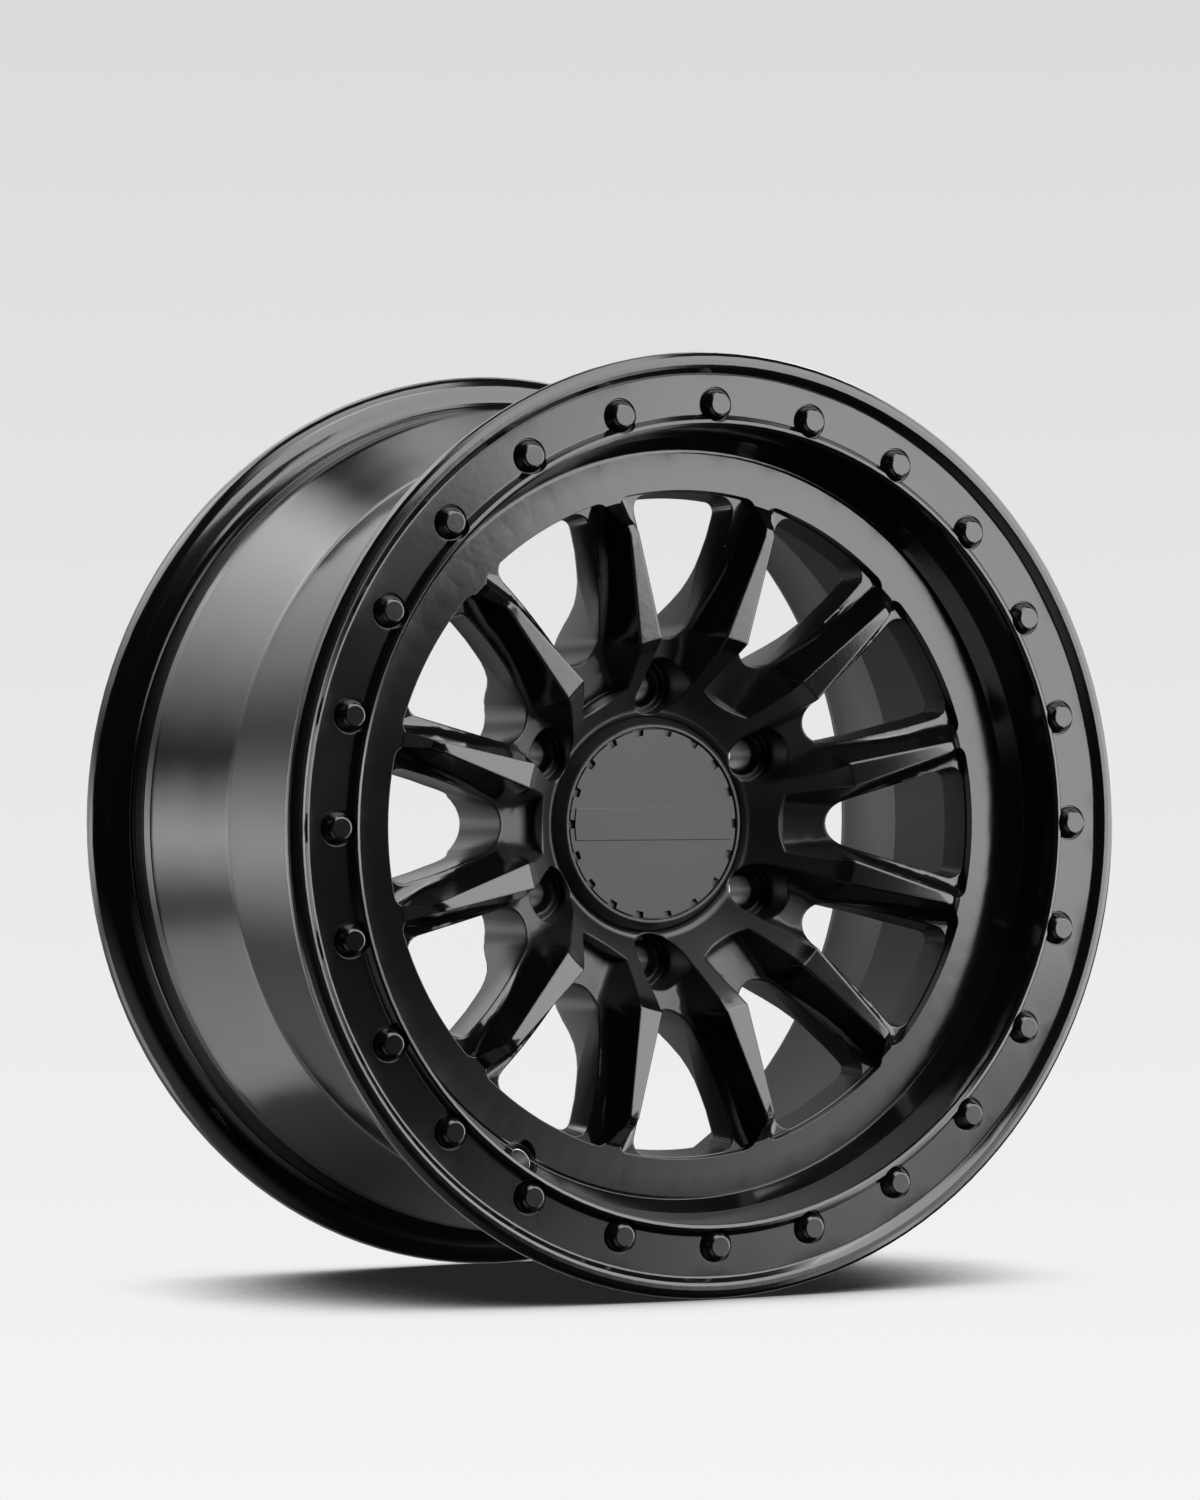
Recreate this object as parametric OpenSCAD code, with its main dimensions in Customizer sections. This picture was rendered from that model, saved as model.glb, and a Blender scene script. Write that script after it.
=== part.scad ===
// Car wheel with a bead grip rim, twelve raised spokes and a ring of dummy bolts.
// The wheel turns about Y. Its face looks along -Y, +Z is up, and the middle of
// the hub mounting face is the origin.

/* [Rim] */
// diameter where the tyre bead sits
bead_d = 436.6; // [360:1:530]
// distance between the two faces that hold the tyre
rim_w = 215.9; // [180:1:260]
// height of the flanges above the bead seat
flange_h = 17.3; // [16:0.1:19]
// how far the hub face lies outboard of the middle of the rim
hub_offset = 15; // [0:1:25]
// thickness of the barrel wall
barrel_wall = 6; // [5:0.5:9]
// depth of the drop well below the bead seat
well_drop = 20.3; // [17:0.5:24]
// depth of the grip grooves in the bead seats
grip_groove = 0.6; // [0.3:0.1:1]

/* [Face] */
// how far the letter ring lies behind the front lip
face_ring_depth = 29.6; // [24:0.5:34]
// how far the windows stop short of the bead seat radius
window_inset = 50.8; // [45:0.5:58]
// depth of the shelf beside the blades, behind the front lip
shelf_depth = 34.3; // [32:0.5:38]
// thickness of the casting behind the shelf at the rim end
shelf_wall = 16.5; // [12:0.5:24]
// width of the channel that holds the dummy bolts
channel_w = 20.2; // [18:0.5:22]

/* [Spokes] */
// number of pairs of spokes
pairs = 6; // [5:1:7]
// width of a blade at its inner end
blade_w_in = 12.6; // [9:0.2:15]
// width of a blade at its outer end
blade_w_out = 5; // [4:0.2:8]
// depth of the blade top at its inner end, behind the front lip
blade_depth_in = 22.5; // [20:0.5:26]
// depth of the blade top at its outer end, behind the front lip
blade_depth_out = 14; // [8:0.5:18]
// sideways lean of the blade flanks, per millimetre of depth
flank_lean = 0.3; // [0.15:0.01:0.36]
// thickness of the web between a lug nut pocket and the window's hub end
lug_web = 9.7; // [8:0.1:14]
// radius of the window end next to the hub
window_r = 11.2; // [8:0.2:13]
// height of the fillet where a spoke meets the floor
foot_fillet = 4; // [2:0.5:6]
// radius of the window corners next to the rim
corner_r = 4.5; // [3:0.25:7]

/* [Hub] */
// centre bore diameter
bore_d = 107; // [88:0.5:110]
// diameter of the bolt circle
bolt_circle_d = 139.7; // [136:0.1:170]
// diameter of each lug nut pocket
lug_pocket_d = 28.6; // [26:0.2:30]
// diameter of each lug hole
lug_hole_d = 15; // [13:0.5:17]
// thickness of the hub between the nut seats and the mounting face
seat_web = 26.4; // [18:0.2:30]
// depth of the hub face behind the front lip
hub_depth = 69; // [64:0.5:74]
// how far the mounting pad reaches beyond the bolt circle
pad_rim = 14.15; // [12:0.25:20]
// depth of the step in the bore that the cap rests on, below the hub face
cap_seat = 5; // [4:0.25:8]

/* [Cap] */
// how far the cap's face is smaller than its seat, all round
cap_taper = 4.1; // [3:0.1:8]
// how far the cap stands out of the hub face
cap_proud = 4.4; // [2:0.2:8]
// clearance round the cap's flange
cap_clear = 0.3; // [0.15:0.05:0.6]
// number of teeth round the cap's disc
cap_teeth = 18; // [12:1:24]
// height of the raised band across the cap
band_w = 16.2; // [10:0.2:20]
// number of snap legs
leg_count = 8; // [6:1:12]

/* [Dummy bolts] */
// number of dummy bolts
stud_count = 24; // [12:1:30]
// diameter of a dummy bolt at its foot
stud_d = 16.4; // [12:0.2:17]
// diameter of the flat on top of a dummy bolt
stud_top_d = 10.4; // [7:0.2:12]
// how far a dummy bolt stands out of its seat
stud_h = 6.4; // [4:0.2:8]
// diameter of the hole for a dummy bolt's shank
stud_hole_d = 6; // [5:0.2:8]
// clearance round the shank
stud_clear = 0.05; // [0.02:0.01:0.1]

/* [Valve hole] */
// diameter of the drilled valve hole
valve_d = 11.5; // [11:0.1:16]
// diameter of the round seat cut for the valve
valve_seat_d = 19; // [17:0.5:22]
// lean of the valve hole away from the wheel axis
valve_lean = 35; // [28:1:40]

/* [Hidden] */
rb = bead_d / 2;
flange_t = 12.95;
crest = -(rim_w / 2 + flange_t) + hub_offset;
lip = rb + flange_h;
well = rb - well_drop;
rear = rim_w + 2 * flange_t;
chan_out = rb + 5.9;
chan_in = chan_out - channel_w;
ring_in = rb - window_inset;
spoke_n = 2 * pairs;
step = 360 / spoke_n;
half = step / 2;
lug_r = bolt_circle_d / 2;
bore_r = bore_d / 2;
seat_r = bore_r + 1.4;
hub_thick = -(crest + hub_depth);
window_hub = lug_r + lug_pocket_d / 2 + lug_web;
kink = window_hub + 1.6;
tip = ring_in - 10;
span = ring_in - window_hub;
pad_r = lug_r + pad_rim;
cap_r = seat_r - cap_taper;
mid_depth = 53;
slab = shelf_depth + shelf_wall;
lean_w = 0.15;
stud_r = rb - 9;
stud_foot = 2.4;
cone = 1.3;
cone_r = 68.3 + (lug_r - 69.85);
cone_depth = 56;
root_gap = 2.4;
eps = 0.02;

// Turns a shape drawn along +Z, with depth as height, to face along -Y.
module facing() {
    rotate([-90, 0, 0])
        children();
}

function arc(cx, cy, r, a0, a1, n) =
    [for (i = [0:n]) [cx + r * cos(a0 + (a1 - a0) * i / n), cy + r * sin(a0 + (a1 - a0) * i / n)]];

// One groove of the bead grip, cut into a seat that falls away from the flange.
function groove(r0, d0, side, at, w, depth) =
    let (d = d0 + side * at, r = r0 - (at - 6.5) * 0.0875)
    side > 0
    ? [[r + 0.04, d - w / 2], [r - depth, d - w / 4], [r - depth, d + w / 4], [r - 0.04, d + w / 2]]
    : [[r - 0.04, d - w / 2], [r - depth, d - w / 4], [r - depth, d + w / 4], [r + 0.04, d + w / 2]];

// Cross-section of the rim: radius, then depth behind the front lip.
function rim_front() = concat(
    [[chan_out - 0.2, 1.5], [chan_out + 1, 1.2], [chan_out + 3.4, -0.8], [chan_out + 4.8, -1.5]],
    [[lip - 4.4, -1.7], [lip - 2.2, -1.1], [lip - 0.6, 0.5], [lip, 2.2]],
    arc(lip - 9.5, 3.45, 9.5, 0, 90, 9),
    arc(rb + 6.5, flange_t + 6.5, 6.5, 270, 180, 6),
    groove(rb, flange_t, 1, 8.7, 1.1, grip_groove),
    groove(rb, flange_t, 1, 11.2, 0.6, grip_groove / 2),
    groove(rb, flange_t, 1, 13.6, 0.6, grip_groove / 2),
    groove(rb, flange_t, 1, 16, 0.6, grip_groove / 2),
    groove(rb, flange_t, 1, 18.2, 1.1, grip_groove),
    [[rb - 1.5, 36], [rb - 2.6, 40], [rb - 6, 44.5]],
    [[well + 4, 60.5], [well + 1, 65], [well, 69]]
);

function rim_rear() = concat(
    [[well, 147], [well + 1, 151.5], [rb - 3.2, rear - 40.5], [rb - 1.8, rear - 37.2]],
    groove(rb, rear - flange_t, -1, 18.2, 1.1, grip_groove),
    groove(rb, rear - flange_t, -1, 16, 0.6, grip_groove / 2),
    groove(rb, rear - flange_t, -1, 13.6, 0.6, grip_groove / 2),
    groove(rb, rear - flange_t, -1, 11.2, 0.6, grip_groove / 2),
    groove(rb, rear - flange_t, -1, 8.7, 1.1, grip_groove),
    arc(rb + 6.5, rear - flange_t - 6.5, 6.5, 180, 90, 6),
    arc(lip - 9.5, rear - 3.45, 9.5, 270, 360, 9),
    [[lip, rear - 1.4], [lip - 0.7, rear + 0.4], [lip - 2.2, rear + 1.4], [lip - 4.4, rear + 1.7]],
    [[rb + 1, rear + 1.7], [rb - 1.2, rear + 1], [rb - 2.1, rear - 1.2]]
);

function rim_inside() = [
    [rb - 5.6, rear - 9.6], [rb - 1.3 - barrel_wall, rear - 25.8],
    [rb - 6.8 - barrel_wall, rear - 52.3], [well - barrel_wall, 145],
    [well - barrel_wall, slab + 18], [well - barrel_wall - 1.2, slab + 10],
    [well - barrel_wall - 5, slab + 4.4], [well - barrel_wall - 11, slab + 1.4],
    [well - barrel_wall - 18, slab]
];

function rim_face() = [
    [ring_in - 8, face_ring_depth - 0.5], [rb - 32, face_ring_depth + 1.2],
    [rb - 30.2, face_ring_depth + 0.9], [rb - 28.4, face_ring_depth - 1.3],
    [rb - 23.9, 21.6], [rb - 23.4, 20],
    [rb - 20.3, 0], [rb - 19.7, -1.7], [rb - 18.1, -2.5], [rb - 16.5, -2.1],
    [chan_in, 1.1], [chan_in + 0.5, 1.5]
];

// Front surface of the shelf and of the floor between the spokes.
function floor_line() = [
    [bore_r - 4, hub_depth + 1], [cone_r - 10.3, hub_depth + 0.2], [window_hub, 52.5],
    [window_hub + 0.12 * span, 47.8], [window_hub + 0.24 * span, 43.6],
    [window_hub + 0.38 * span, 39.6], [window_hub + 0.52 * span, 36.6],
    [window_hub + 0.66 * span, shelf_depth + 0.4], [window_hub + 0.76 * span, shelf_depth],
    [ring_in - 8, shelf_depth]
];

// Back surface of the disc, from the rim inward to the mounting pad.
function back_line() = [
    [window_hub + 0.85 * span, slab], [window_hub + 0.72 * span, slab + 0.5],
    [window_hub + 0.6 * span, slab + 2.2], [window_hub + 0.51 * span, slab + 4.8],
    [window_hub + 0.43 * span, slab + 9], [window_hub + 0.35 * span, slab + 15],
    [window_hub + 0.27 * span, -crest - 31], [window_hub + 0.19 * span, -crest - 20],
    [window_hub + 0.11 * span, -crest - 10], [window_hub + 0.04 * span, -crest - 4.6],
    [window_hub - 1.5, -crest - root_gap - 0.4], [pad_r + 2, -crest - root_gap], [pad_r, -crest],
    [bore_r - 4, -crest]
];

// Barrel, ring and disc of the casting, turned as one.
module casting() {
    translate([0, 0, crest])
        rotate_extrude($fn = 180)
            polygon(concat(
                rim_front(), rim_rear(), rim_inside(), back_line(), floor_line(), rim_face()
            ));
}

function cone_at(r) = cone_depth - cone * (r - cone_r);

// Height of the hub face, the cone, the arms and the blades against radius.
function relief_line() = concat(
    [[bore_r - 3, hub_depth]],
    arc(cone_r - 11.48, hub_depth - 3, 3, 90, 37.6, 5),
    [[kink - 6.5, cone_at(kink - 6.5)], [kink, blade_depth_in]],
    [[tip - 7.5, blade_depth_out], [tip - 4, blade_depth_out + 1], [tip - 1.6, blade_depth_out + 3.2]],
    [[tip, blade_depth_out + 6], [tip + 8, face_ring_depth], [tip + 11, face_ring_depth + 1.4]],
    [[tip + 11, shelf_depth + 8], [window_hub + 0.66 * span, 46], [window_hub, 62], [62, 78], [bore_r - 3, 80]]
);

// Height of the floor beside a spoke, for its foot fillets.
function floor_at(r) = lookup(r, [for (p = floor_line()) [p[0], p[1]]]);

// One raised spoke: an arm that climbs from the hub, a short bevel and a blade,
// with flanks that lean out and end in a two-step fillet at the floor.
module wedge_of_spoke() {
    blade = [for (k = [0:5]) k / 5];
    r = concat(
        [cone_r - 9.3, cone_r + 9.7, kink - 6.5], [for (k = blade) kink + k * (tip - 7.5 - kink)],
        [tip + 0.5, tip + 12]
    );
    w = concat(
        [3.7, 4.2, blade_w_in * 0.415], [for (k = blade) blade_w_in / 2 + k * (blade_w_out - blade_w_in) / 2],
        [blade_w_out / 2 + 0.1, blade_w_out / 2 + 1]
    );
    t = concat(
        [cone_at(cone_r - 9.3), cone_at(cone_r + 9.7), cone_at(kink - 6.5)],
        [for (k = blade) blade_depth_in + k * (blade_depth_out - blade_depth_in)],
        [blade_depth_out + 6, face_ring_depth + 1.5]
    );
    up = 4;
    low = 81;
    n = len(r);
    f = [for (x = r) floor_at(x) - foot_fillet];
    g = [for (x = f) x + 0.62 * foot_fillet];
    wf = [for (i = [0:n - 1]) w[i] + flank_lean * (f[i] - t[i])];
    wg = [for (i = [0:n - 1]) wf[i] + 0.8 * (g[i] - f[i])];
    sink = 0.38 * foot_fillet + 0.6;
    rows = [
        [for (i = [0:n - 1]) [w[i] - flank_lean * up, t[i] - up]],
        [for (i = [0:n - 1]) [wf[i], f[i]]],
        [for (i = [0:n - 1]) [wg[i], g[i]]],
        [for (i = [0:n - 1]) [wg[i] + 1.9 * sink, g[i] + sink]],
        [for (i = [0:n - 1]) [wg[i] + 1.9 * sink, low]]
    ];
    points = concat(
        [for (row = rows) for (i = [0:n - 1]) [r[i], row[i][0], row[i][1]]],
        [for (row = rows) for (i = [0:n - 1]) [r[i], -row[i][0], row[i][1]]]
    );
    s = 5 * n;
    faces = concat(
        [for (j = [0:3]) for (i = [0:n - 2]) let (k = j * n + i) [k, k + 1, k + n + 1, k + n]],
        [for (j = [0:3]) for (i = [0:n - 2]) let (k = s + j * n + i) [k, k + n, k + n + 1, k + 1]],
        [for (i = [0:n - 2]) [i, s + i, s + i + 1, i + 1]],
        [for (i = [0:n - 2]) [4 * n + i, 4 * n + i + 1, s + 4 * n + i + 1, s + 4 * n + i]],
        [concat([for (j = [0:4]) j * n], [for (j = [4:-1:0]) s + j * n])],
        [concat([for (j = [0:4]) s + j * n + n - 1], [for (j = [4:-1:0]) j * n + n - 1])]
    );
    polyhedron(points = points, faces = faces);
}

// Everything that stands up from the floor of the disc: the hub with a rounded
// hollow between the two arms of each pair, and the raised spokes.
module relief() {
    intersection() {
        translate([0, 0, crest])
            rotate_extrude($fn = 180)
                polygon(relief_line());
        union() {
            difference() {
                translate([0, 0, crest + 30])
                    cylinder(r = cone_r + 3.7, h = 52, $fn = 180);
                throat_pockets();
            }
            for (i = [0:spoke_n - 1])
                rotate([0, 0, half + i * step])
                    translate([0, 0, crest])
                        wedge_of_spoke();
        }
    }
}

// Outline of a window, grown by g: an arc at the hub, two straight sides along
// the neighbouring spokes, rounded corners and an arc at the rim.
function window_outline(g) =
    let (
        va = window_hub + window_r,
        side = va * sin(half) - window_r,
        ro = ring_in - 3.5,
        rc = ro - corner_r,
        phi = half - asin((side + corner_r) / rc),
        aa = 90 + half
    )
    concat(
        arc(va, 0, window_r + g, aa, 360 - aa, 12),
        arc(rc * cos(phi), -rc * sin(phi), corner_r + g, 360 - aa, 360 - phi, 5),
        arc(0, 0, ro + g, -phi * 0.75, phi * 0.75, 6),
        arc(rc * cos(phi), rc * sin(phi), corner_r + g, phi, aa, 5)
    );

// Outline of the shallow pocket beside the blades at the rim end.
function shelf_outline(g) =
    let (rc = ring_in - 6, phi = half - asin(9.2 / rc))
    concat(
        [[ring_in - 20, -(ring_in - 20) * tan(phi)]],
        arc(rc * cos(phi), -rc * sin(phi), 6 + g, 270 - half, 360 - phi, 5),
        arc(0, 0, ring_in + g, -phi * 0.8, phi * 0.8, 8),
        arc(rc * cos(phi), rc * sin(phi), 6 + g, phi, 90 + half, 5),
        [[ring_in - 20, (ring_in - 20) * tan(phi)]]
    );

// A solid between outlines of the same number of points at rising heights.
module skin(levels, outlines) {
    n = len(outlines[0]);
    m = len(levels);
    points = [for (j = [0:m - 1]) for (p = outlines[j]) [p[0], p[1], levels[j]]];
    walls = [
        for (j = [0:m - 2]) for (i = [0:n - 1])
        [j * n + i, (j + 1) * n + i, (j + 1) * n + (i + 1) % n, j * n + (i + 1) % n]
    ];
    faces = concat(
        walls,
        [[for (i = [0:n - 1]) i]],
        [[for (i = [0:n - 1]) m * n - 1 - i]]
    );
    polyhedron(points = points, faces = faces);
}

module windows() {
    top = face_ring_depth - 12;
    foot = -crest + 4;
    for (i = [0:spoke_n - 1])
        rotate([0, 0, i * step])
            translate([0, 0, crest])
                skin(
                    [top, mid_depth, foot],
                    [
                        window_outline(lean_w * (mid_depth - top)),
                        window_outline(0),
                        window_outline(0.06 * (foot - mid_depth))
                    ]
                );
}

module shelf_pockets() {
    for (i = [0:spoke_n - 1])
        rotate([0, 0, i * step])
            translate([0, 0, crest])
                skin([face_ring_depth - 4, shelf_depth], [shelf_outline(0.6), shelf_outline(-0.2)]);
}

// Bowl-shaped hollows in the boss between the two arms of each pair.
module throat_pockets() {
    reach = 17.7;
    for (i = [0:pairs - 1])
        rotate([0, 0, i * 2 * step])
            translate([cone_r + reach, 0, crest + cone_depth])
                rotate_extrude($fn = 96)
                    polygon([
                        [0, -14], [reach + 13.3, -14], [reach, 0], [reach - 2.4, 1.5], [reach - 5.2, 2.6],
                        [reach - 8, 3.3], [reach - 10, 4.6], [reach - 10.6, 12], [0, 12]
                    ]);
}

module lug_holes() {
    for (i = [0:pairs - 1])
        rotate([0, 0, step + i * 2 * step])
            translate([lug_r, 0, 0]) {
                translate([0, 0, crest + hub_depth - 40])
                    cylinder(d = lug_pocket_d, h = 40 + hub_thick - seat_web, $fn = 96);
                translate([0, 0, -seat_web - eps])
                    cylinder(d1 = lug_hole_d + 6, d2 = lug_hole_d, h = 5.2, $fn = 96);
                translate([0, 0, -seat_web])
                    cylinder(d = lug_hole_d, h = seat_web + 2, $fn = 96);
            }
}

module centre_bore() {
    face = crest + hub_depth;
    translate([0, 0, face - 10])
        cylinder(r = bore_r, h = 10 + hub_thick + 10, $fn = 180);
    translate([0, 0, face - 10])
        cylinder(r = seat_r, h = 10 + cap_seat, $fn = 180);
    translate([0, 0, face - 1])
        cylinder(r1 = seat_r + 2.9, r2 = seat_r, h = 2.9, $fn = 180);
    translate([0, 0, face + cap_seat + 13.5])
        cylinder(r = bore_r + 1.2, h = 5.5, $fn = 180);
    translate([0, 0, -2])
        cylinder(r1 = bore_r, r2 = bore_r + 2.05, h = 2.05, $fn = 180);
}

module stud_seats() {
    for (i = [0:stud_count - 1])
        rotate([0, 0, i * 360 / stud_count])
            translate([stud_r, 0, crest]) {
                translate([0, 0, -8])
                    cylinder(r = stud_d / 2 + 0.6, h = 8 + stud_foot, $fn = 60);
                cylinder(d = stud_hole_d, h = stud_foot + 11, $fn = 40);
            }
}

module valve_hole() {
    rotate([0, 0, 120])
        translate([rb - 29, 0, crest + face_ring_depth - 2.6])
            rotate([0, valve_lean, 0]) {
                translate([0, 0, -14])
                    cylinder(d = valve_seat_d, h = 16, $fn = 72);
                cylinder(d = valve_d, h = 60, $fn = 72);
            }
}

module wheel_body() {
    color([0.06, 0.06, 0.065])
        facing()
            difference() {
                union() {
                    difference() {
                        casting();
                        shelf_pockets();
                    }
                    relief();
                }
                windows();
                lug_holes();
                centre_bore();
                stud_seats();
                valve_hole();
            }
}

// Dummy bolts, each with a shank pressed into its blind hole.
module accent_studs() {
    color([0.1, 0.1, 0.105])
        facing()
            for (i = [0:stud_count - 1])
                rotate([0, 0, i * 360 / stud_count])
                    translate([stud_r, 0, crest + stud_foot])
                        rotate_extrude($fn = 72)
                            polygon([
                                [0, -stud_h], [stud_top_d / 2 - 0.4, -stud_h],
                                [stud_top_d / 2 + 0.2, -stud_h + 0.25],
                                [stud_top_d / 2 + 0.9, -stud_h + 1.1],
                                [stud_d / 2 - 1.1, -stud_h * 0.52],
                                [stud_d / 2 - 0.35, -stud_h * 0.25],
                                [stud_d / 2, -stud_h * 0.1], [stud_d / 2, 0],
                                [stud_hole_d / 2 - stud_clear, 0],
                                [stud_hole_d / 2 - stud_clear, 8.6],
                                [stud_hole_d / 2 - stud_clear - 0.8, 9.4], [0, 9.4]
                            ]);
}

module cap_disc_outline() {
    circle(r = cap_r - 5.8, $fn = 120);
    intersection() {
        circle(r = cap_r - 2.9, $fn = 120);
        for (i = [0:cap_teeth - 1])
            rotate([0, 0, (i + 0.5) * 360 / cap_teeth])
                translate([cap_r / 2, 0])
                    square([cap_r, 0.72 * PI * (2 * cap_r - 8) / cap_teeth], center = true);
    }
}

// Centre cap: a shallow domed shell with a toothed disc, a plain raised band
// and snap legs that reach into the bore.
module centre_cap() {
    face = crest + hub_depth - cap_proud;
    deep = cap_proud + cap_seat;
    cr = cap_r;
    leg_out = bore_r - 0.6;
    color([0.09, 0.09, 0.095])
        facing()
            translate([0, 0, face]) {
                rotate_extrude($fn = 180)
                    polygon([
                        [0, 1.2], [cr - 6.6, 1.2], [cr - 6.6, 2.3], [cr - 2.2, 2.3], [cr - 2.2, 0.4], [cr - 1.8, 0], [cr - 0.7, 0], [cr, 0.6],
                        [seat_r - cap_clear - 0.5, deep - 3.2], [seat_r - cap_clear, deep - 2.4],
                        [seat_r - cap_clear, deep], [leg_out - 3.4, deep], [leg_out - 3.4, deep - 3],
                        [cr - 4, 4.2], [0, 4.2]
                    ]);
                translate([0, 0, 0.5])
                    linear_extrude(height = 2.2)
                        cap_disc_outline();
                intersection() {
                    cylinder(r = cr - 5.6, h = 4, $fn = 120);
                    translate([-cr, -band_w / 2, 0])
                        cube([2 * cr, band_w, 1.5]);
                }
                difference() {
                    rotate_extrude($fn = 180)
                        polygon([
                            [leg_out - 2.2, deep - 1], [leg_out, deep - 1], [leg_out, deep + 14.2],
                            [leg_out + 1.4, deep + 15.2], [leg_out + 1.4, deep + 17.2],
                            [leg_out - 0.6, deep + 18.6], [leg_out - 2.2, deep + 18.6]
                        ]);
                    for (i = [0:leg_count - 1])
                        rotate([0, 0, i * 360 / leg_count])
                            translate([0, -11, deep + 2])
                                cube([bore_r + 5, 22, 30]);
                }
            }
}

// Round wire ring that keeps the snap legs spread.
module cap_ring() {
    color([0.35, 0.35, 0.36])
        facing()
            translate([0, 0, crest + hub_depth + cap_seat + 16])
                rotate_extrude($fn = 180)
                    translate([bore_r - 2.8 - 1.15, 0])
                        circle(r = 1.1, $fn = 32);
}

wheel_body();
accent_studs();
centre_cap();
cap_ring();
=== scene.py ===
# %% [markdown]
# # A black bead grip wheel
# The CAD model already holds the wheel's shape, so this lesson is about looks: one paint
# recipe that several parts share, soft rounded edges made in the shader, a drilled hole with
# bare metal, and a studio that lights black paint.

# %% Load the CAD model
import math

import bmesh
import bpy
from mathutils import Matrix, Vector

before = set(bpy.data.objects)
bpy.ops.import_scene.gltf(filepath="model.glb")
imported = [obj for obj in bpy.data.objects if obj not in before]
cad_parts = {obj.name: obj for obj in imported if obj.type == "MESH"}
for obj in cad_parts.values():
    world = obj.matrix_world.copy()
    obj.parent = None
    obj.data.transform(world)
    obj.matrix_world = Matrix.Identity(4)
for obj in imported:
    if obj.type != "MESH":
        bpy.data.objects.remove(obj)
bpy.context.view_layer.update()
scene = bpy.context.scene
scene.view_settings.view_transform = "Standard"
wheel_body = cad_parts["wheel_body"]
for name, obj in sorted(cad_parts.items()):
    print(name, "vertices", len(obj.data.vertices), "materials", len(obj.data.materials))

# %% [markdown]
# ## Camera
# The camera was fitted to the wheel's outlines in the photograph. It is a long lens, about 29
# degrees to the left of the wheel's axis and nearly level with it.

# %% Place the camera
camera_data = bpy.data.cameras.new("camera")
camera_data.sensor_width = 36.0
camera_data.lens = 145.48
camera_data.clip_start = 0.1
camera_data.clip_end = 100.0
camera = bpy.data.objects.new("camera", camera_data)
scene.collection.objects.link(camera)
camera.location = (-1.4913, -2.7272, 0.0394)
back = Vector((-0.47765, -0.87855, 0.00063)).normalized()
right = Vector((0.0, 0.0, 1.0)).cross(back).normalized()
up = back.cross(right)
turn = Matrix((right, up, back)).transposed().to_4x4()
camera.matrix_world = Matrix.Translation(camera.location) @ turn
scene.camera = camera
print("camera at", [round(v, 3) for v in camera.location])

# %% [markdown]
# ## Small helpers for node trees
# Materials, lights and the backdrop are trees of nodes, which could also be wired by hand in
# the shader editor. As code they stay readable with a few helpers, which place a node, feed a
# socket, do a sum, and start a material or a group.


# %% Place and feed nodes
def add_node(tree, kind, **settings):
    """Adds a node, then sets its properties and, where the name is a socket, its value."""
    node = tree.nodes.new(kind)
    for key, value in settings.items():
        socket = key.replace("_", " ")
        if socket in node.inputs:
            node.inputs[socket].default_value = value
        else:
            setattr(node, key, value)
    return node


def feed(tree, source, socket):
    """Links a socket to its source or, where the source is a plain value, sets that value."""
    if isinstance(source, bpy.types.NodeSocket):
        tree.links.new(source, socket)
    else:
        socket.default_value = source


print("node helpers ready")


# %% Sums on numbers and vectors
def combine(tree, operation, first, second):
    """A Math node on two numbers, each a link or a plain value."""
    node = add_node(tree, "ShaderNodeMath", operation=operation)
    feed(tree, first, node.inputs[0])
    feed(tree, second, node.inputs[1])
    return node.outputs[0]


def combine_vectors(tree, operation, *sources):
    """A Vector Math node. It gives a number where its operation does, and else a vector."""
    node = add_node(tree, "ShaderNodeVectorMath", operation=operation)
    sockets = [node.inputs[0], node.inputs["Scale"]] if operation == "SCALE" else node.inputs
    for source, socket in zip(sources, sockets):
        feed(tree, source, socket)
    return node.outputs["Value" if operation in ("LENGTH", "DOT_PRODUCT") else "Vector"]


def ramp(tree, value, start, stop, first=0.0, last=1.0, eased=True):
    """Carries a value from the range start to stop over to the range first to last."""
    easing = "SMOOTHSTEP" if eased else "LINEAR"
    node = add_node(tree, "ShaderNodeMapRange", interpolation_type=easing)
    sources = {"Value": value, "From Min": start, "From Max": stop, "To Min": first, "To Max": last}
    for socket, source in sources.items():
        feed(tree, source, node.inputs[socket])
    return node.outputs[0]


def between(tree, value, lowest, highest):
    """One where a value lies between two limits, and zero elsewhere."""
    above = combine(tree, "GREATER_THAN", value, lowest)
    below = combine(tree, "LESS_THAN", value, highest)
    return combine(tree, "MULTIPLY", above, below)


print("sums ready")


# %% Places on the wheel
def away_from_axis(tree, place):
    """The part of a place that leads straight away from the wheel's axis."""
    return combine_vectors(tree, "MULTIPLY", place, (1.0, 0.0, 1.0))


def axis_distance(tree, place):
    return combine_vectors(tree, "LENGTH", away_from_axis(tree, place))


def split_axes(tree, vector):
    split = add_node(tree, "ShaderNodeSeparateXYZ")
    tree.links.new(vector, split.inputs[0])
    return split.outputs


print("places ready")


# %% Start materials and groups
def new_material(name):
    material = bpy.data.materials.new(name)
    material.use_nodes = True
    material.node_tree.nodes.clear()
    return material, material.node_tree


def set_material(obj, material):
    if not obj.material_slots:
        obj.data.materials.append(material)
    for slot in obj.material_slots:
        slot.link = "OBJECT"
        slot.material = material


def new_group(name, inputs, outputs, kind="Float"):
    """Starts a shader group. Its inputs and outputs are all of one kind, Float or Vector."""
    group = bpy.data.node_groups.new(name, "ShaderNodeTree")
    for in_out, sockets in (("INPUT", inputs), ("OUTPUT", outputs)):
        for socket in sockets:
            group.interface.new_socket(socket, in_out=in_out, socket_type="NodeSocket" + kind)
    start = group.nodes.new("NodeGroupInput")
    end = group.nodes.new("NodeGroupOutput")
    return group, start.outputs, end.inputs


print("material helpers ready")

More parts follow.
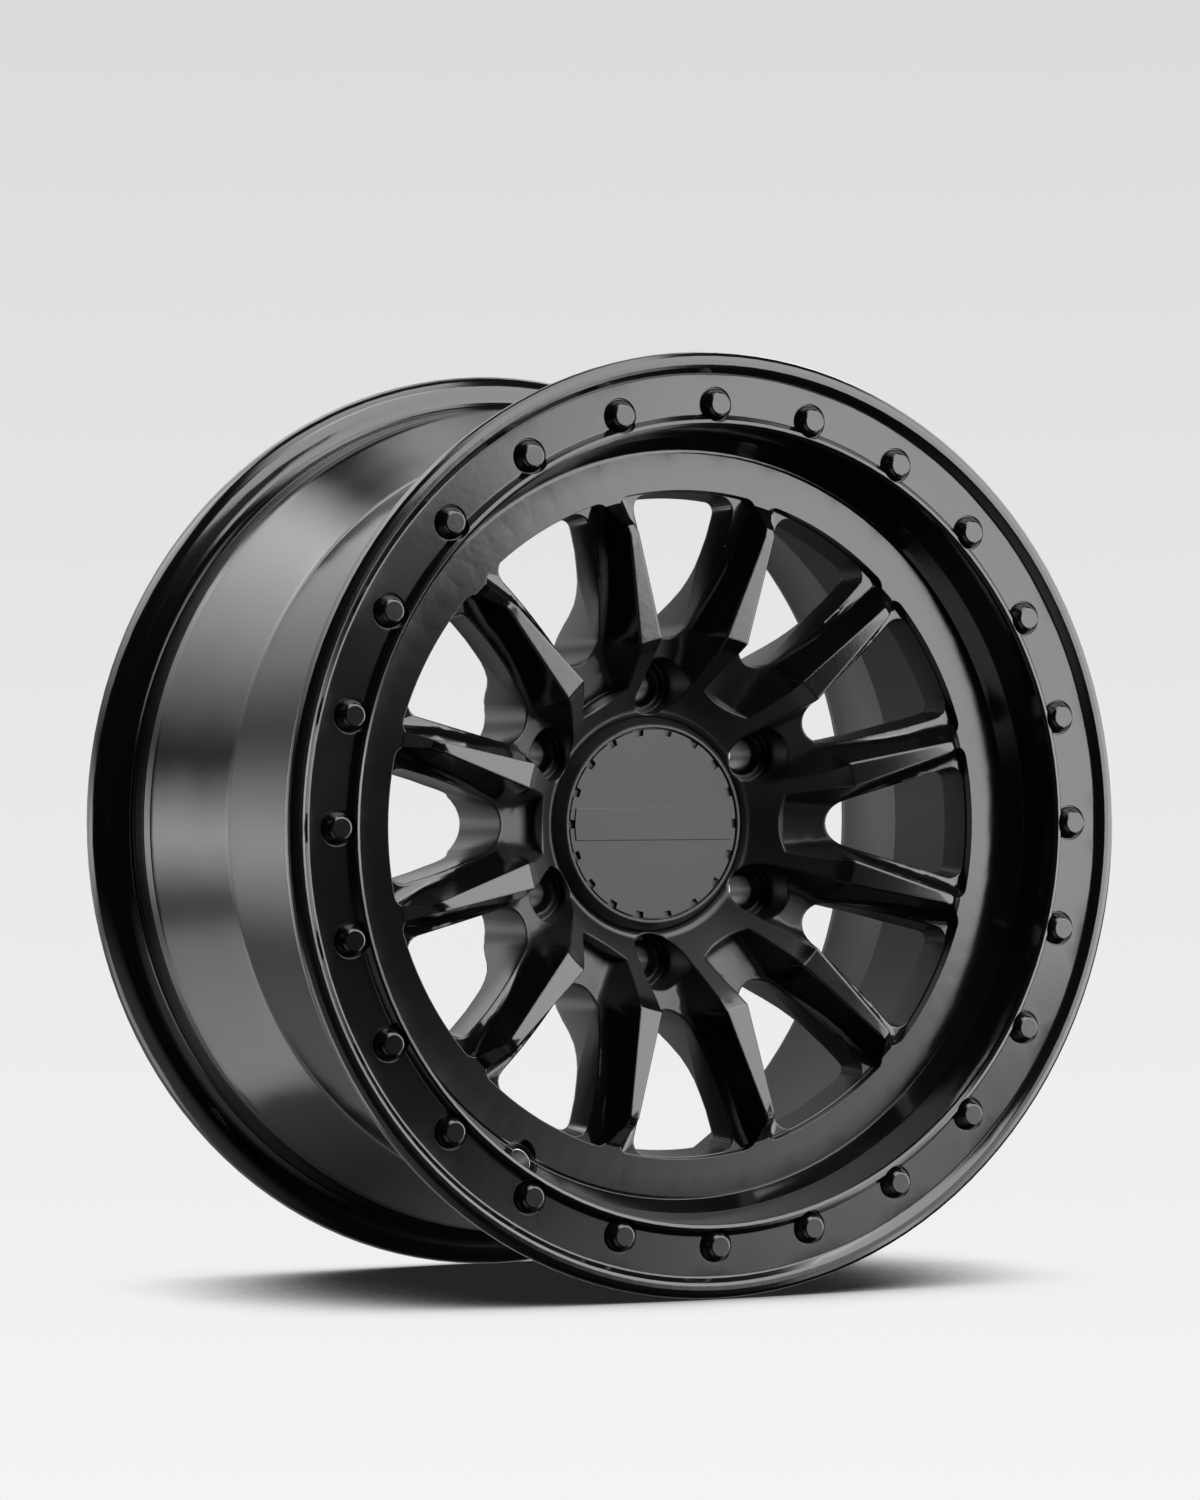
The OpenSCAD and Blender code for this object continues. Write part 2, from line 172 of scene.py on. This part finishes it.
# %% [markdown]
# ## Soft surfaces on the casting
# The CAD flanks of the spokes reach Blender as flat facets that meet at shallow angles. On a
# real casting they flow into each other. Subdividing would round them, but would also move
# them off the CAD surface. So a geometry nodes modifier joins the facets' corners and marks
# only the steep edges as sharp, and a second modifier lets large faces keep their own
# direction. The rim's steps are crisper in the photograph, so its crease angle is smaller.


# %% Soften the casting
def soften(obj, spoke_crease, rim_crease, spoke_reach, change_over):
    """Smooths edges below a crease angle, in degrees, which differs for the spokes and the rim."""
    tree = bpy.data.node_groups.new("soft_casting", "GeometryNodeTree")
    for in_out in ("INPUT", "OUTPUT"):
        tree.interface.new_socket("Geometry", in_out=in_out, socket_type="NodeSocketGeometry")
    start = tree.nodes.new("NodeGroupInput")
    end = tree.nodes.new("NodeGroupOutput")
    join = add_node(tree, "GeometryNodeMergeByDistance", Distance=0.00001)
    faces = add_node(tree, "GeometryNodeSetShadeSmooth", domain="FACE")
    edges = add_node(tree, "GeometryNodeSetShadeSmooth", domain="EDGE")
    angle = add_node(tree, "GeometryNodeInputMeshEdgeAngle")
    place = add_node(tree, "GeometryNodeInputPosition")
    creases = math.radians(spoke_crease), math.radians(rim_crease)
    distance = axis_distance(tree, place.outputs[0])
    crease = ramp(tree, distance, spoke_reach, spoke_reach + change_over, *creases, eased=False)
    shallow = combine(tree, "LESS_THAN", angle.outputs["Unsigned Angle"], crease)
    tree.links.new(start.outputs[0], join.inputs["Geometry"])
    tree.links.new(join.outputs["Geometry"], faces.inputs["Geometry"])
    tree.links.new(faces.outputs["Geometry"], edges.inputs["Geometry"])
    tree.links.new(shallow, edges.inputs["Shade Smooth"])
    tree.links.new(edges.outputs["Geometry"], end.inputs[0])
    obj.modifiers.new("soft_casting", "NODES").node_group = tree
    weigh = obj.modifiers.new("large_faces_lead", "WEIGHTED_NORMAL")
    weigh.mode = "FACE_AREA"
    weigh.keep_sharp = True


soften(wheel_body, spoke_crease=36.0, rim_crease=14.0, spoke_reach=0.166, change_over=0.003)
print("modifiers:", [m.name for m in wheel_body.modifiers])

# %% [markdown]
# ## Paint texture, shared by every painted part
# Sprayed paint is never perfectly even. A picture could hold its unevenness, but noise needs no
# unwrapping. One node group returns a bump height with a fine grain and a long, faint orange
# peel, a roughness that wanders slightly, and a tone that blends the paint's two colours.


# %% Paint texture group
def make_paint_texture(roughness_swing):
    sockets = ("Grain", "Base Roughness"), ("Height", "Roughness", "Tone")
    group, given, result = new_group("paint_texture", *sockets)
    place = add_node(group, "ShaderNodeTexCoord")
    fine = add_node(group, "ShaderNodeTexNoise", Scale=2600.0, Detail=2.0, Roughness=0.6)
    peel = add_node(group, "ShaderNodeTexNoise", Scale=320.0, Detail=1.0, Roughness=0.4)
    wander = add_node(group, "ShaderNodeTexNoise", Scale=9.0, Detail=3.0, Roughness=0.55)
    for texture in (fine, peel, wander):
        group.links.new(place.outputs["Object"], texture.inputs["Vector"])
    grain = combine(group, "MULTIPLY", fine.outputs["Fac"], given["Grain"])
    feed(group, combine(group, "ADD", grain, peel.outputs["Fac"]), result["Height"])
    tone = wander.outputs["Fac"]
    usual_tones = 0.3, 0.7
    swing = ramp(group, tone, *usual_tones, -roughness_swing, roughness_swing, eased=False)
    feed(group, combine(group, "ADD", swing, given["Base Roughness"]), result["Roughness"])
    feed(group, tone, result["Tone"])
    return group


paint_texture = make_paint_texture(roughness_swing=0.025)
print("paint texture has", len(paint_texture.nodes), "nodes")

# %% [markdown]
# ## Bare metal in the drilled valve hole
# The photograph shows one bright spot at the valve hole. Bare metal on the hole's wall, as if
# it was drilled after painting, is a guess from that spot. The group gives a mask that is one
# within the drill's radius of the drill's own line, so no face has to be picked by hand.


# %% Drilled hole group
def make_drilled_mask(mouth, way, radius, start_before):
    """The way is a unit vector. The mask starts a little before the hole's mouth."""
    group, _, result = new_group("drilled_hole", (), ("Mask",))
    place = add_node(group, "ShaderNodeTexCoord")
    offset = combine_vectors(group, "SUBTRACT", place.outputs["Object"], mouth)
    aside = combine_vectors(group, "CROSS_PRODUCT", offset, way)
    inside = combine(group, "LESS_THAN", combine_vectors(group, "LENGTH", aside), radius)
    depth = combine_vectors(group, "DOT_PRODUCT", offset, way)
    reached = combine(group, "GREATER_THAN", depth, -start_before)
    feed(group, combine(group, "MULTIPLY", inside, reached), result["Mask"])
    return group


drilled_mask = make_drilled_mask(
    mouth=(-0.09465, -0.0789, -0.16394),
    way=(-0.28679, 0.81915, -0.49673),
    radius=0.0059,
    start_before=0.02,
)
print("drilled hole group has", len(drilled_mask.nodes), "nodes")

# %% [markdown]
# ## Crisp rim, soft spokes
# In the photograph the rim's steps have crisp edges, and the spokes have the soft edges of a
# casting. Two materials could show this, but they would meet in a visible line. One group
# gives the edge radius instead, and changes it over a few millimetres where the spokes end.


# %% Edge radius group
def make_edge_radius(soft, crisp, spoke_reach, half_change):
    group, _, result = new_group("edge_radius", (), ("Radius",))
    place = add_node(group, "ShaderNodeTexCoord")
    distance = axis_distance(group, place.outputs["Object"])
    change = spoke_reach - half_change, spoke_reach + half_change
    feed(group, ramp(group, distance, *change, soft, crisp), result["Radius"])
    return group


edge_radius = make_edge_radius(soft=0.0018, crisp=0.0005, spoke_reach=0.163, half_change=0.004)
print("edge radius group has", len(edge_radius.nodes), "nodes")

# %% [markdown]
# ## Level front faces
# The photograph's reflections show two flat bands on the rim, so the first mask levels them
# fully. The tops of the spokes' blades lean inwards in the CAD. On the left the reflections
# agree with that. Towards the upper right and at the top they suggest flatter blades. The real
# blades are surely alike, so this is a choice to follow the photograph: the blades are
# levelled there only. Moving the normals changes the shading and leaves the shape alone.


# %% Level face group
def make_level_faces(rim_bands, blade_band, right_share, top_share):
    """Bands are distances from the axis. Shares say how far a normal is turned to the front."""
    group, given, result = new_group("level_faces", ("Normal",), ("Normal",), "Vector")
    place = add_node(group, "ShaderNodeTexCoord").outputs["Object"]
    facing = add_node(group, "ShaderNodeNewGeometry").outputs["True Normal"]
    distance = axis_distance(group, place)
    # A normal's Y is -1 straight forwards, -0.985 at a lean of 10 degrees and -0.97 at 14.
    forwards = split_axes(group, facing)["Y"]
    level_y = -1.1, -0.985
    leaning_y = -0.9925, -0.97
    nearly_level = between(group, forwards, *level_y)
    leaning = between(group, forwards, *leaning_y)
    amount = 0.0
    for band in rim_bands:
        part = combine(group, "MULTIPLY", nearly_level, between(group, distance, *band))
        amount = combine(group, "ADD", amount, part)
    way = combine_vectors(group, "NORMALIZE", away_from_axis(group, place))
    upper_right, straight_up = (0.85, 0.0, 0.53), (0.0, 0.0, 1.0)
    to_right = combine_vectors(group, "DOT_PRODUCT", way, upper_right)
    to_top = combine_vectors(group, "DOT_PRODUCT", way, straight_up)
    half_edge, top_edge = (-0.2, 0.2), (0.75, 0.95)
    along_blade = ramp(group, distance, *blade_band, *right_share)
    right_half = combine(group, "MULTIPLY", along_blade, ramp(group, to_right, *half_edge))
    flatter = combine(group, "MAXIMUM", right_half, ramp(group, to_top, *top_edge, 0.0, top_share))
    blades = combine(group, "MULTIPLY", leaning, between(group, distance, *blade_band))
    amount = combine(group, "ADD", amount, combine(group, "MULTIPLY", blades, flatter))
    change = combine_vectors(group, "SUBTRACT", (0.0, -1.0, 0.0), facing)
    scaled = combine_vectors(group, "SCALE", change, amount)
    moved = combine_vectors(group, "ADD", given["Normal"], scaled)
    feed(group, combine_vectors(group, "NORMALIZE", moved), result["Normal"])
    return group


level_faces = make_level_faces(
    rim_bands=((0.164, 0.1882), (0.2285, 0.2332)),
    blade_band=(0.09, 0.158),
    right_share=(0.48, 0.9),
    top_share=0.95,
)
print("level face group has", len(level_faces.nodes), "nodes")

# %% [markdown]
# ## Deep surfaces
# With the gloss of the front, the bottoms of the hub's pockets and the spokes' rear mirror the
# studio's rear panels, which the photograph's wheel doesn't. Why is unknown. The paint could be
# darker there, but it is the shine that is wrong, so a mask finds these places and the body
# paint is made rougher under it.


# %% Deep surface group
def make_deep_surfaces(hub_reach, spoke_start, hub_front, spoke_front, fall, window_reach):
    """A mask that rises over the fall behind the front, near the axis or on inward faces."""
    group, _, result = new_group("deep_surfaces", (), ("Mask",))
    place = add_node(group, "ShaderNodeTexCoord").outputs["Object"]
    facing = add_node(group, "ShaderNodeNewGeometry").outputs["True Normal"]
    distance = axis_distance(group, place)
    front = ramp(group, distance, hub_reach, spoke_start, hub_front, spoke_front, eased=False)
    behind = combine(group, "SUBTRACT", split_axes(group, place)["Y"], front)
    near_axis = combine(group, "LESS_THAN", distance, window_reach)
    # The distance isn't divided out: nearer the axis a face has to look more squarely inwards.
    outwards = combine_vectors(group, "DOT_PRODUCT", away_from_axis(group, place), facing)
    inward_limit = -0.1
    inwards = combine(group, "LESS_THAN", outwards, inward_limit)
    either = combine(group, "MAXIMUM", near_axis, inwards)
    feed(group, combine(group, "MULTIPLY", ramp(group, behind, 0.0, fall), either), result["Mask"])
    return group


deep_surfaces = make_deep_surfaces(
    hub_reach=0.085,
    spoke_start=0.1,
    hub_front=-0.097,
    spoke_front=-0.07,
    fall=0.02,
    window_reach=0.168,
)
print("deep surface group has", len(deep_surfaces.nodes), "nodes")

# %% [markdown]
# ## The painted materials
# A cast edge is never knife sharp. Rounding it in the mesh would cost many faces. The Bevel
# node rounds only the normals near each edge, so the edge catches a thin line of light as a
# real one does. Each paint blends two close colours, and its values were fitted.


# %% Painted material
def make_paint(name, dark, light, rough, edge, metallic=0.0, shine=0.5):
    """A paint. The edge is a radius in metres, or None where the edge radius group gives it."""
    material, tree = new_material(name)
    texture = add_node(tree, "ShaderNodeGroup", node_tree=paint_texture)
    texture.inputs["Grain"].default_value = 0.35
    texture.inputs["Base Roughness"].default_value = rough
    tint = add_node(tree, "ShaderNodeMix", data_type="RGBA")
    tint.inputs["A"].default_value = (*dark, 1.0)
    tint.inputs["B"].default_value = (*light, 1.0)
    bevel = add_node(tree, "ShaderNodeBevel", samples=8)
    if edge is None:
        edge = add_node(tree, "ShaderNodeGroup", node_tree=edge_radius).outputs["Radius"]
    feed(tree, edge, bevel.inputs["Radius"])
    relief = add_node(tree, "ShaderNodeBump", Strength=0.02, Distance=0.0004)
    surface = add_node(tree, "ShaderNodeBsdfPrincipled", IOR=1.5, Metallic=metallic)
    surface.inputs["Specular IOR Level"].default_value = shine
    end = add_node(tree, "ShaderNodeOutputMaterial")
    tree.links.new(texture.outputs["Tone"], tint.inputs["Factor"])
    tree.links.new(texture.outputs["Height"], relief.inputs["Height"])
    tree.links.new(bevel.outputs["Normal"], relief.inputs["Normal"])
    tree.links.new(tint.outputs["Result"], surface.inputs["Base Color"])
    tree.links.new(texture.outputs["Roughness"], surface.inputs["Roughness"])
    tree.links.new(relief.outputs["Normal"], surface.inputs["Normal"])
    tree.links.new(surface.outputs[0], end.inputs["Surface"])
    return material


gloss_black = (0.0018, 0.0018, 0.002), (0.0028, 0.0028, 0.003)
cap_black = (0.004, 0.004, 0.0045), (0.007, 0.007, 0.0075)
wire_grey = (0.3, 0.3, 0.3), (0.36, 0.36, 0.36)
body_paint = make_paint("body_paint", *gloss_black, rough=0.12, edge=None)
stud_paint = make_paint("stud_paint", *gloss_black, rough=0.14, edge=0.0005)
cap_paint = make_paint("cap_paint", *cap_black, rough=0.43, edge=0.0004)
wire_metal = make_paint("wire_metal", *wire_grey, rough=0.3, edge=0.0002, metallic=1.0)
print("paints:", [m.name for m in bpy.data.materials])

# %% [markdown]
# ## Groups placed on the body's paint
# The body has one paint with three changes: level normals, duller depths and bare metal. Each
# could be a paint of its own. Mixing the values before they reach the one shader keeps it a
# single material, and no face has to be picked by hand.


# %% Level faces, dull depths and bare metal on the body
def blend_value(surface, socket, mask, value):
    """Mixes what feeds a shader's socket with a plain value, where the mask is one."""
    tree = surface.id_data
    target = surface.inputs[socket]
    kind = "RGBA" if target.type == "RGBA" else "FLOAT"
    present = target.links[0].from_socket if target.links else target.default_value
    blend = add_node(tree, "ShaderNodeMix", data_type=kind)
    feed(tree, mask, blend.inputs["Factor"])
    feed(tree, present, blend.inputs["A"])
    feed(tree, value, blend.inputs["B"])
    tree.links.new(blend.outputs["Result"], target)


tree = body_paint.node_tree
surface = tree.nodes["Principled BSDF"]
level = add_node(tree, "ShaderNodeGroup", node_tree=level_faces)
tree.links.new(surface.inputs["Normal"].links[0].from_socket, level.inputs["Normal"])
tree.links.new(level.outputs["Normal"], surface.inputs["Normal"])
deep = add_node(tree, "ShaderNodeGroup", node_tree=deep_surfaces)
dull_roughness = 0.42
blend_value(surface, "Roughness", deep.outputs["Mask"], dull_roughness)
drilled = add_node(tree, "ShaderNodeGroup", node_tree=drilled_mask)
bare_metal = {"Base Color": (0.62, 0.62, 0.62, 1.0), "Roughness": 0.28, "Metallic": 1.0}
for socket, value in bare_metal.items():
    blend_value(surface, socket, drilled.outputs["Mask"], value)
print("body paint has", len(tree.nodes), "nodes")

# %% Give each part its paint
set_material(wheel_body, body_paint)
set_material(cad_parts["accent_studs"], stud_paint)
set_material(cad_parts["centre_cap"], cap_paint)
set_material(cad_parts["cap_ring"], wire_metal)
print("materials:", [m.name for m in bpy.data.materials if m.users])

# %% [markdown]
# ## A dull coat inside the barrel
# In the photograph the inside of the barrel and the far walls of the windows hardly shine. Why
# is unknown, and this coat only matches it. They could be masked in the shader, but a second
# material on those faces keeps the low shine a plain value that every viewer understands.


# %% Paint the inside
def paint_faces(obj, material, chosen):
    """Gives a material to the faces that the chosen function picks by centre and normal."""
    obj.data.materials.append(material)
    slot = obj.material_slots[-1]
    slot.link = "OBJECT"
    slot.material = material
    picked = [p for p in obj.data.polygons if chosen(p.center, p.normal)]
    for polygon in picked:
        polygon.material_index = len(obj.material_slots) - 1
    return len(picked)


def inside_barrel(centre, normal):
    """Inward faces: at the windows' ends all of them, and farther out those behind a plane."""
    nearest, window_end, plane, least_inwards = 0.155, 0.1685, -0.06, 0.5
    distance = math.hypot(centre.x, centre.z)
    if distance <= nearest:
        return False
    inwards = -(centre.x * normal.x + centre.z * normal.z) / distance
    return inwards > least_inwards and (distance < window_end or centre.y > plane)


inner_paint = make_paint("inner_paint", *gloss_black, rough=0.45, edge=0.0005, shine=0.13)
count = paint_faces(wheel_body, inner_paint, inside_barrel)
print("faces painted dull:", count, "of", len(wheel_body.data.polygons))

# %% [markdown]
# ## Backdrop
# Behind the wheel the photograph is a pale grey that grows lighter towards the bottom. A wall
# would throw light on the wheel, so the world shows that grey to the camera only. All other
# rays meet a dim glow, from low on the left and, in mirror reflections, from the rear wall.


# %% Backdrop
def make_backdrop(top, bottom, floor_strength, wall_strength, least):
    """Greys at the picture's upper and lower edge, and the strengths that all other rays meet."""
    lower_edge, upper_edge = -0.1225, 0.1228
    world = bpy.data.worlds.new("backdrop")
    scene.world = world
    world.use_nodes = True
    tree = world.node_tree
    tree.nodes.clear()
    place = add_node(tree, "ShaderNodeTexCoord")
    way = split_axes(tree, place.outputs["Generated"])
    ray = add_node(tree, "ShaderNodeLightPath").outputs
    blend = add_node(tree, "ShaderNodeMix", data_type="RGBA")
    blend.inputs["A"].default_value = (bottom, bottom, bottom, 1.0)
    blend.inputs["B"].default_value = (top, top, top, 1.0)
    rise = ramp(tree, way["Z"], lower_edge, upper_edge, eased=False)
    tree.links.new(rise, blend.inputs["Factor"])
    seen = add_node(tree, "ShaderNodeBackground")
    tree.links.new(blend.outputs["Result"], seen.inputs["Color"])
    downwards = ramp(tree, way["Z"], -0.2, -0.6)
    leftwards = ramp(tree, way["X"], 0.1, -0.6)
    rearwards = ramp(tree, way["Y"], 0.45, 0.9)
    low_left = combine(tree, "MULTIPLY", downwards, leftwards)
    floor_glow = combine(tree, "MULTIPLY", low_left, floor_strength)
    mirrored = combine(tree, "MAXIMUM", ray["Is Glossy Ray"], ray["Is Transmission Ray"])
    rear_wall = combine(tree, "MULTIPLY", rearwards, wall_strength)
    wall_glow = combine(tree, "MULTIPLY", rear_wall, mirrored)
    around = combine(tree, "ADD", combine(tree, "ADD", floor_glow, wall_glow), least)
    dim = add_node(tree, "ShaderNodeBackground", Color=(1.0, 1.0, 1.0, 1.0))
    tree.links.new(around, dim.inputs["Strength"])
    pick = add_node(tree, "ShaderNodeMixShader")
    end = add_node(tree, "ShaderNodeOutputWorld")
    tree.links.new(ray["Is Camera Ray"], pick.inputs[0])
    tree.links.new(dim.outputs[0], pick.inputs[1])
    tree.links.new(seen.outputs[0], pick.inputs[2])
    tree.links.new(pick.outputs[0], end.inputs["Surface"])
    return world


backdrop = make_backdrop(top=0.708, bottom=0.905, floor_strength=0.55, wall_strength=0.3, least=0.012)
print("backdrop has", len(backdrop.node_tree.nodes), "nodes")

# %% [markdown]
# ## Floor
# The photograph shows no floor but for a soft shadow under the wheel. The floor is clear,
# and an ambient occlusion node darkens its colour where the wheel hides it from the sky:
# a painted contact shadow, which is all that it shows.


# %% Floor
def make_floor(half, depth, shadow_reach):
    shaded, open_sky, darkest = 0.3, 0.87, 0.02
    mesh = bpy.data.meshes.new("floor")
    shape = bmesh.new()
    bmesh.ops.create_grid(shape, x_segments=8, y_segments=8, size=half)
    shape.to_mesh(mesh)
    shape.free()
    obj = bpy.data.objects.new("floor", mesh)
    obj.location = (0.0, 0.0, depth)
    scene.collection.objects.link(obj)
    material, tree = new_material("floor")
    shade = add_node(tree, "ShaderNodeAmbientOcclusion", samples=16, Distance=shadow_reach)
    # The grey is a painted contact shadow, taken from ambient occlusion and not cast by the lamps.
    grey = ramp(tree, shade.outputs["AO"], shaded, open_sky, darkest)
    colour = add_node(tree, "ShaderNodeCombineColor")
    for channel in ("Red", "Green", "Blue"):
        tree.links.new(grey, colour.inputs[channel])
    clear = add_node(tree, "ShaderNodeBsdfTransparent")
    end = add_node(tree, "ShaderNodeOutputMaterial")
    tree.links.new(colour.outputs[0], clear.inputs["Color"])
    tree.links.new(clear.outputs[0], end.inputs["Surface"])
    obj.data.materials.append(material)
    obj.visible_diffuse = obj.visible_glossy = obj.visible_shadow = False
    return obj


floor = make_floor(half=1.6, depth=-0.2357, shadow_reach=0.16)
print("floor at", round(floor.location.z, 4))

# %% [markdown]
# ## Studio lights
# Black paint shows only what it reflects, so the lights are large soft panels placed where the
# paint's mirror directions point. A plain area light would show as a hard rectangle. A shared
# group fades each panel towards its four edges, as the cloth of a softbox does.


# %% Softbox glow
softbox_sides = ("Left", "Right", "Bottom", "Top")


def make_softbox_glow():
    """Each input is the share of the panel over which that side fades."""
    group, given, result = new_group("softbox_glow", softbox_sides, ("Glow",))
    shape = add_node(group, "ShaderNodeNewGeometry")
    panel = split_axes(group, shape.outputs["Parametric"])
    glow = 1.0
    for side, axis in zip(softbox_sides, "XXYY"):
        across = panel[axis]
        if side in ("Right", "Top"):
            across = combine(group, "SUBTRACT", 1.0, across)
        glow = combine(group, "MULTIPLY", glow, ramp(group, across, 0.0, given[side]))
    feed(group, glow, result["Glow"])
    return group


softbox_glow = make_softbox_glow()
print("softbox group has", len(softbox_glow.nodes), "nodes")


# %% Softbox
def add_softbox(name, azimuth, elevation, roll, width, height, glow, fades):
    """A large soft panel that faces the wheel. Azimuth 0 is in front of it, 90 to its right."""
    distance, least_fade = 3.0, 0.001
    data = bpy.data.lights.new(name, "AREA")
    data.shape = "RECTANGLE"
    data.size, data.size_y = width, height
    data.energy = math.pi * glow * width * height
    data.use_nodes = True
    tree = data.node_tree
    edges = add_node(tree, "ShaderNodeGroup", node_tree=softbox_glow)
    for side, share in zip(softbox_sides, fades):
        edges.inputs[side].default_value = max(share, least_fade)
    tree.links.new(edges.outputs["Glow"], tree.nodes["Emission"].inputs["Strength"])
    panel = bpy.data.objects.new(name, data)
    scene.collection.objects.link(panel)
    around, above = math.radians(azimuth), math.radians(elevation)
    level_x, level_y = math.sin(around) * math.cos(above), -math.cos(around) * math.cos(above)
    way = Vector((level_x, level_y, math.sin(above)))
    facing = way.to_track_quat("Z", "Y").to_matrix().to_4x4()
    turn = facing @ Matrix.Rotation(math.radians(roll), 4, "Z")
    panel.matrix_world = Matrix.Translation(way * distance) @ turn
    panel.visible_camera = False


print("softbox helper ready")

# %% [markdown]
# ## Where the panels stand
# The panels were placed to match the photograph's reflections. The key and its spill
# light the front from the right, and the rear panels show in the barrel. Every row is a name,
# the angles azimuth, elevation and roll, a width and height in metres, the glow, and the four
# fades.

# %% Lights
for row in (
    ("key", 38.3, 25.3, 40.6, 2.67, 7.41, 6.4, (0.03, 0.1, 0.08, 0.1)),
    ("key_spill", 41.5, -18.2, 46.5, 0.47, 2.42, 3.2, (0.1, 0.0, 0.1, 0.25)),
    ("low_right", 48.0, -31.0, 46.5, 0.6, 1.2, 2.4, (0.1, 0.0, 0.1, 0.1)),
    ("overhead", 0.0, 80.0, 0.0, 2.4, 2.4, 4.8, (0.3, 0.1, 0.1, 0.1)),
    ("back_left_high", -136.0, 35.0, 0.0, 2.6, 3.06, 5.5, (0.35, 0.0, 0.8, 0.1)),
    ("back_left_low", -136.5, -3.0, 0.0, 2.5, 1.83, 5.2, (0.85, 0.0, 0.55, 0.55)),
    ("back_left_floor", -133.0, -32.0, 0.0, 1.8, 2.0, 2.2, (0.4, 0.0, 0.1, 0.3)),
    ("back_far_high", -180.0, 32.0, 0.0, 3.4, 2.4, 1.6, (0.4, 0.2, 0.6, 0.1)),
    ("back_far_low", -170.0, -3.0, 0.0, 2.9, 1.83, 1.5, (0.3, 0.2, 0.55, 0.55)),
    ("back_right", 125.0, 20.0, 0.0, 2.6, 3.0, 2.5, (0.2, 0.2, 0.2, 0.2)),
):
    add_softbox(*row)
